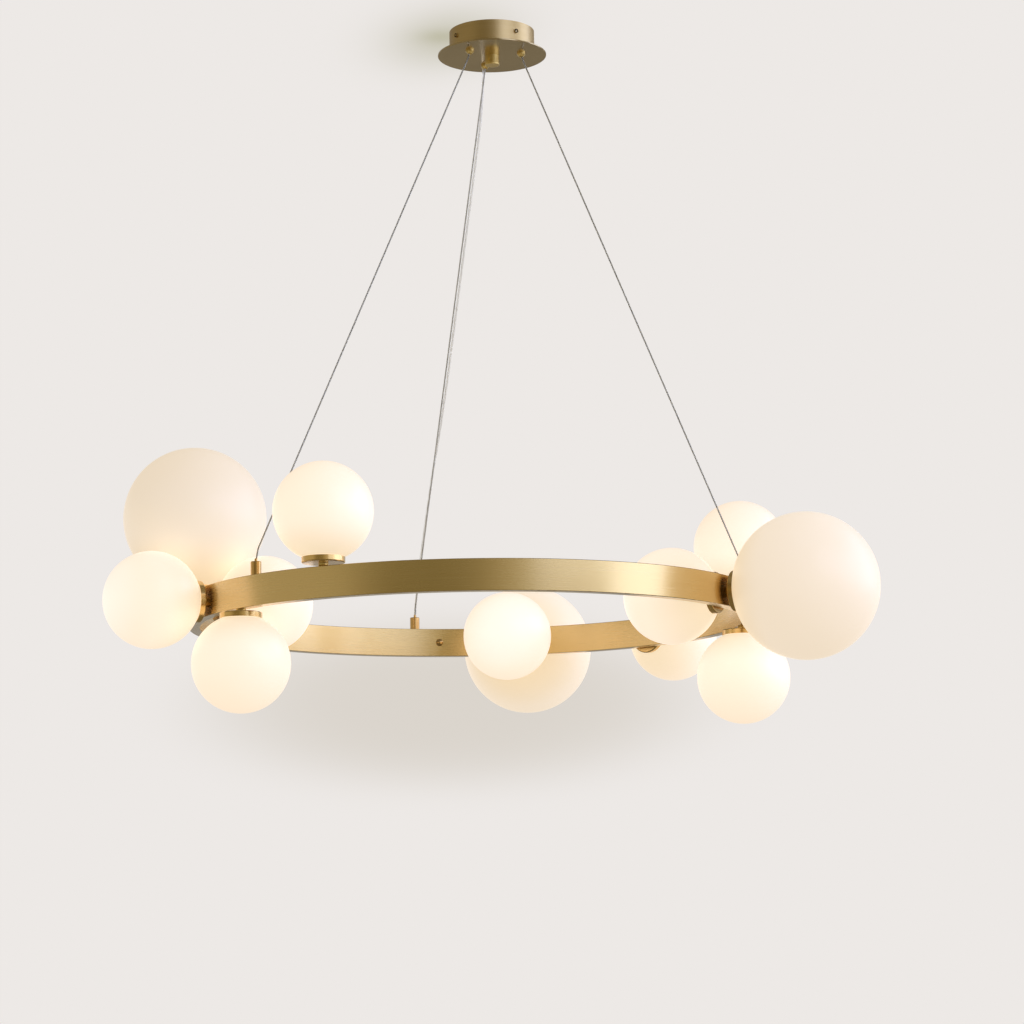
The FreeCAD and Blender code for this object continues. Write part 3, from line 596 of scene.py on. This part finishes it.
def centreline(name, points):
    """Points along the route's smooth curve."""
    holder = bpy.data.objects.new(name + "_route", route_curve(name + "_route", points))
    bpy.context.scene.collection.objects.link(holder)
    bpy.context.view_layer.update()
    mesh = bpy.data.meshes.new_from_object(holder.evaluated_get(bpy.context.evaluated_depsgraph_get()))
    found = [v.co.copy() for v in mesh.vertices]
    bpy.data.objects.remove(holder)
    bpy.data.meshes.remove(mesh)
    return found


def even(points, spacing):
    """Points along a polyline at nearly equal distances."""
    lengths = [0.0]
    for a, b in zip(points, points[1:]):
        lengths.append(lengths[-1] + (b - a).length)
    count = max(2, round(lengths[-1] / spacing))
    found, index = [], 0
    for step in range(count + 1):
        target = lengths[-1] * step / count
        while index < len(points) - 2 and lengths[index + 1] < target:
            index += 1
        share = (target - lengths[index]) / max(1e-9, lengths[index + 1] - lengths[index])
        found.append(points[index].lerp(points[index + 1], min(1.0, share)))
    return found


def frames_along(points):
    """Two unit vectors square to the line at each point, carried along without twist."""
    found = []
    side = Vector((1, 0, 0))
    for index in range(len(points)):
        ahead = (points[min(index + 1, len(points) - 1)] - points[max(index - 1, 0)]).normalized()
        side = (side - ahead * side.dot(ahead)).normalized()
        found.append((side.copy(), ahead.cross(side)))
    return found


def add_tube(vertices, faces, path, radius, sides):
    """Add a closed round tube along a path to vertices and faces."""
    first = len(vertices)
    for point, (u, v) in zip(path, frames_along(path)):
        for step in range(sides):
            angle = 2 * math.pi * step / sides
            vertices.append(point + (u * math.cos(angle) + v * math.sin(angle)) * radius)
    for row in range(len(path) - 1):
        for step in range(sides):
            after = (step + 1) % sides
            a, b = first + row * sides, first + (row + 1) * sides
            faces.append((a + step, a + after, b + after, b + step))
    faces.append(tuple(first + step for step in reversed(range(sides))))
    last = first + (len(path) - 1) * sides
    faces.append(tuple(last + step for step in range(sides)))


def tubes(name, paths, radius, sides):
    """Mesh of closed round tubes along paths."""
    vertices, faces = [], []
    for path in paths:
        add_tube(vertices, faces, path, radius, sides)
    return mesh_from(name, vertices, faces)


def helix(path, radius, pitch, phase):
    """Path that winds round another."""
    found, travelled = [], 0.0
    for index, (point, (u, v)) in enumerate(zip(path, frames_along(path))):
        if index:
            travelled += (point - path[index - 1]).length
        angle = phase + 2 * math.pi * travelled / pitch
        found.append(point + (u * math.cos(angle) + v * math.sin(angle)) * radius)
    return found


# Inside the cables and the cord: spacing of the points along them, a cable's strands, the cord's conductors
CABLE_STEP = 1.1 * MM
STEPS_PER_CORE_POINT = 4
STRANDS = 6
STRAND_RADIUS = CABLE_CORE_RADIUS / 3
LAY_LENGTH = 11 * MM
CORD_STEP = 2.2 * MM
CONDUCTORS = 2
CONDUCTOR_RADIUS = 0.26 * MM
CONDUCTOR_OFFSET = 0.55 * MM
CONDUCTOR_LAY = 38 * MM


def clear_plastic(name, milky, pale, clearness):
    """Clear soft plastic, slightly milky in places."""
    made, nodes, shader = material(name)
    streak = nodes.noise(nodes.position(), 90.0, 2.0)
    nodes.put(shader, "Base Color", nodes.mix(streak, linear(milky), linear(pale)))
    nodes.put(shader, "Roughness", nodes.fit(streak, 0.3, 0.7, 0.12, 0.2))
    nodes.put(shader, "IOR", 1.4)
    nodes.put(shader, "Transmission Weight", clearness)
    return made


cable_sheath = clear_plastic("cable_sheath", (222, 223, 220), (242, 243, 241), 0.8)
cord_sheath = clear_plastic("cord_sheath", (249, 250, 249), (252, 252, 251), 0.95)


def coated_cable(number, azimuth, steel):
    """Steel cable of six strands round a core, in a clear sheath."""
    name = "cable_%d" % number
    path = even(centreline(name, cable_points(azimuth)), CABLE_STEP)
    strands = [path[::STEPS_PER_CORE_POINT] + [path[-1]]]
    for strand in range(STRANDS):
        phase = 2 * math.pi * strand / STRANDS
        strands.append(helix(path, CABLE_CORE_RADIUS - STRAND_RADIUS, LAY_LENGTH, phase))
    core_mesh = tubes(name + "_strands", strands, STRAND_RADIUS, sides=6)
    core = link(name + "_core", core_mesh, steel, "fixture")
    sheath_mesh = tubes(name + "_sheath", [path], CABLE_RADIUS, sides=12)
    sheath = link(name + "_sheath", sheath_mesh, cable_sheath, "fixture")
    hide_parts(name)


def power_cord():
    """Two twisted conductors in a clear sheath."""
    path = even(centreline("power_cord", cord_points()), CORD_STEP)
    for count in range(CONDUCTORS):
        wire = helix(path, CONDUCTOR_OFFSET, CONDUCTOR_LAY, 2 * math.pi * count / CONDUCTORS)
        wire_mesh = tubes("conductor_%d" % count, [wire], CONDUCTOR_RADIUS, sides=8)
        link("cord_conductor_%d" % (count + 1), wire_mesh, conductor, "fixture")
    sheath_mesh = tubes("cord_sheath", [path], CORD_RADIUS, sides=20)
    sheath = link("cord_sheath", sheath_mesh, cord_sheath, "fixture")
    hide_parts("power_cord")


for number, azimuth in enumerate(GRIP_AZIMUTHS, 1):
    coated_cable(number, azimuth, rear_cable_painted_light_steel if azimuth == CORD_AZIMUTH else cable_steel)
power_cord()


def camera():
    """Camera at the photograph's place, below the ring and a little left of the canopy."""
    pitch, yaw, roll = (math.radians(a) for a in (CAMERA_PITCH, CAMERA_YAW, CAMERA_ROLL))
    ahead = Vector((math.sin(yaw) * math.cos(pitch), math.cos(yaw) * math.cos(pitch), math.sin(pitch)))
    level = Vector((math.cos(yaw), -math.sin(yaw), 0))
    upright = level.cross(ahead)
    right = level * math.cos(roll) + upright * math.sin(roll)
    top = upright * math.cos(roll) - level * math.sin(roll)
    data = bpy.data.cameras.new("camera")
    data.sensor_width = 36
    data.lens = CAMERA_LENS
    data.clip_end = 100
    made = bpy.data.objects.new("camera", data)
    axes = Matrix((right, top, -ahead)).transposed().to_4x4()
    made.matrix_world = Matrix.Translation(RING_CENTRE + CAMERA_FROM_RING) @ axes
    bpy.context.scene.collection.objects.link(made)
    bpy.context.scene.camera = made


def soft_lamp(name, azimuth, elevation, width, height, power):
    """Soft box that looks at the middle of the fixture."""
    data = bpy.data.lights.new(name, "AREA")
    data.shape = "RECTANGLE"
    data.size, data.size_y = width, height
    data.energy = power
    data.color = DAYLIGHT
    made = bpy.data.objects.new(name, data)
    level = math.radians(elevation)
    away = direction(azimuth) * math.cos(level) + UP * math.sin(level)
    made.location = LAMP_AIM + away * LAMP_DISTANCE
    made.rotation_euler = away.to_track_quat("Z", "Y").to_euler()
    bpy.context.scene.collection.objects.link(made)


# What the metal reflects of the room: its sides, and then each part with the direction that it lies in, from
# where to where it is mixed in along that direction, and its colour
ROOM_SIDE = (0.58, 0.53, 0.38)
ROOM_PARTS = [
    (direction(252), 0.80, 0.99, (0.27, 0.235, 0.13)),
    (direction(75), -0.1, 0.5, (0.60, 0.58, 0.55)),
    (UP, 0.12, 0.4, (0.15, 0.13, 0.09)),
    (UP, 0.5, 0.8, (0.27, 0.25, 0.20)),
    (-UP, -0.05, 0.35, (0.20, 0.175, 0.12)),
]


def world():
    """Pale studio backdrop; what the metal reflects is a darker, warmer room."""
    made = bpy.data.worlds.new("studio")
    bpy.context.scene.world = made
    made.use_nodes = True
    nodes = Nodes(made.node_tree)
    look = nodes.add("ShaderNodeTexCoord").outputs["Generated"]
    room = ROOM_SIDE
    for side, start, end, colour in ROOM_PARTS:
        share = nodes.fit(nodes.vector("DOT_PRODUCT", look, side), start, end, 0.0, 1.0, True)
        room = nodes.mix(share, room, colour)
    path = nodes.add("ShaderNodeLightPath").outputs
    seen = nodes.math("MAXIMUM", path["Is Camera Ray"], path["Is Transmission Ray"])
    colour = nodes.mix(seen, room, linear(BACKGROUND))
    background = nodes.add("ShaderNodeBackground", Color=colour, Strength=1.0)
    output = nodes.add("ShaderNodeOutputWorld")
    nodes.tree.links.new(background.outputs[0], output.inputs[0])


def stage_sheet(name, corner, across, up, shade):
    """Flat sheet, coloured by shade, that only the camera sees, from the side that its normal points to."""
    corners = [corner, corner + across, corner + across + up, corner + up]
    mesh = mesh_from(name, corners, [(0, 1, 2, 3)], False)
    made = bpy.data.materials.new(name)
    made.use_nodes = True
    nodes = Nodes(made.node_tree)
    glow = nodes.add("ShaderNodeEmission", Strength=1.0)
    nodes.put(glow, "Color", shade(nodes))
    clear = nodes.add("ShaderNodeBsdfTransparent")
    hidden = nodes.add("ShaderNodeMixShader")
    path = nodes.add("ShaderNodeLightPath").outputs
    side = nodes.add("ShaderNodeNewGeometry").outputs["Backfacing"]
    nodes.put(hidden, "Fac", nodes.math("MULTIPLY", path["Is Camera Ray"], nodes.math("SUBTRACT", 1.0, side)))
    nodes.tree.links.new(clear.outputs[0], hidden.inputs[1])
    nodes.tree.links.new(glow.outputs[0], hidden.inputs[2])
    output = nodes.add("ShaderNodeOutputMaterial")
    nodes.tree.links.new(hidden.outputs[0], output.inputs[0])
    sheet = bpy.data.objects.new(name, mesh)
    mesh.materials.append(made)
    bpy.context.scene.collection.objects.link(sheet)


# Canopy's shadow: turn of its axes, and a wide spot and a core, each with its middle, half sizes and depth
CEILING_SHADOW_TURN = 11.7
CEILING_SPOTS = [
    (Vector((-58, 26, 0)) * MM, 81 * MM, 132 * MM, 0.38),
    (Vector((-68, 18, 0)) * MM, 32 * MM, 32 * MM, 0.15),
]

# Ring's shadow on the backdrop
WALL_SHADOW_CENTRE = Vector((-0.07, 0.9, -0.805))
WALL_SHADOW_HALF_WIDTH = 378 * MM
WALL_SHADOW_HALF_HEIGHT = 127 * MM
WALL_SHADOW_DEPTH = 0.243


def soft_spot(nodes, centre, across, along, power):
    """Soft elliptic spot, 1 in the middle; across and along are its axes, as long as 1 / half size."""
    away = nodes.vector("SUBTRACT", nodes.position(), centre)
    squares = []
    for axis in (across, along):
        share = nodes.math("ABSOLUTE", nodes.vector("DOT_PRODUCT", away, axis))
        squares.append(nodes.math("POWER", share, 2.0))
    reach = nodes.math("POWER", nodes.math("ADD", *squares), power / 2)
    return nodes.math("EXPONENT", nodes.math("MULTIPLY", reach, -1.0))


def ceiling_shade(nodes):
    """Soft shadow of the canopy on the side away from the key light, with a darker core beside the drum."""
    across, along = direction(CEILING_SHADOW_TURN), direction(CEILING_SHADOW_TURN + 90)
    depths = []
    for centre, width, length, depth in CEILING_SPOTS:
        spot = soft_spot(nodes, centre, across / width, along / length, 2.0)
        depths.append(nodes.math("MULTIPLY", spot, depth))
    return nodes.mix(nodes.math("ADD", *depths), linear(BACKGROUND), linear(CEILING_SHADOW))


def wall_shade(nodes):
    """Faint shadow of the ring, below it on the backdrop."""
    spot = soft_spot(nodes, WALL_SHADOW_CENTRE, X / WALL_SHADOW_HALF_WIDTH, UP / WALL_SHADOW_HALF_HEIGHT, 4.5)
    return nodes.mix(nodes.math("MULTIPLY", spot, WALL_SHADOW_DEPTH), linear(BACKGROUND), linear(WALL_SHADOW))


def floor_shade(nodes):
    """Plain floor in the backdrop's colour."""
    return linear(BACKGROUND)


# Stage sheets: half sizes and heights
CEILING_HALF_SIZE = 4.5
CEILING_HEIGHT = 0.6 * MM
BACKDROP_HALF_WIDTH = 1.5
BACKDROP_BOTTOM, BACKDROP_TOP = -1.6, -0.4
FLOOR_HALF_SIZE = 30
FLOOR_HEIGHT = -2.4

camera()
world()
soft_lamp("key", 353, 11, width=3.1, height=1.5, power=24)
soft_lamp("shelf", 12, 32, width=1.5, height=0.5, power=3.2)
soft_lamp("window", 306, 20, width=1.3, height=1.6, power=7.6)
stage_sheet("ceiling", Vector((-CEILING_HALF_SIZE, CEILING_HALF_SIZE, CEILING_HEIGHT)),
            X * 2 * CEILING_HALF_SIZE, -Y * 2 * CEILING_HALF_SIZE, ceiling_shade)
stage_sheet("backdrop", Vector((-BACKDROP_HALF_WIDTH, WALL_SHADOW_CENTRE.y, BACKDROP_BOTTOM)),
            X * 2 * BACKDROP_HALF_WIDTH, UP * (BACKDROP_TOP - BACKDROP_BOTTOM), wall_shade)
stage_sheet("floor", Vector((-FLOOR_HALF_SIZE, -FLOOR_HALF_SIZE, FLOOR_HEIGHT)),
            X * 2 * FLOOR_HALF_SIZE, Y * 2 * FLOOR_HALF_SIZE, floor_shade)

view = bpy.context.scene.view_settings
view.view_transform = "Standard"
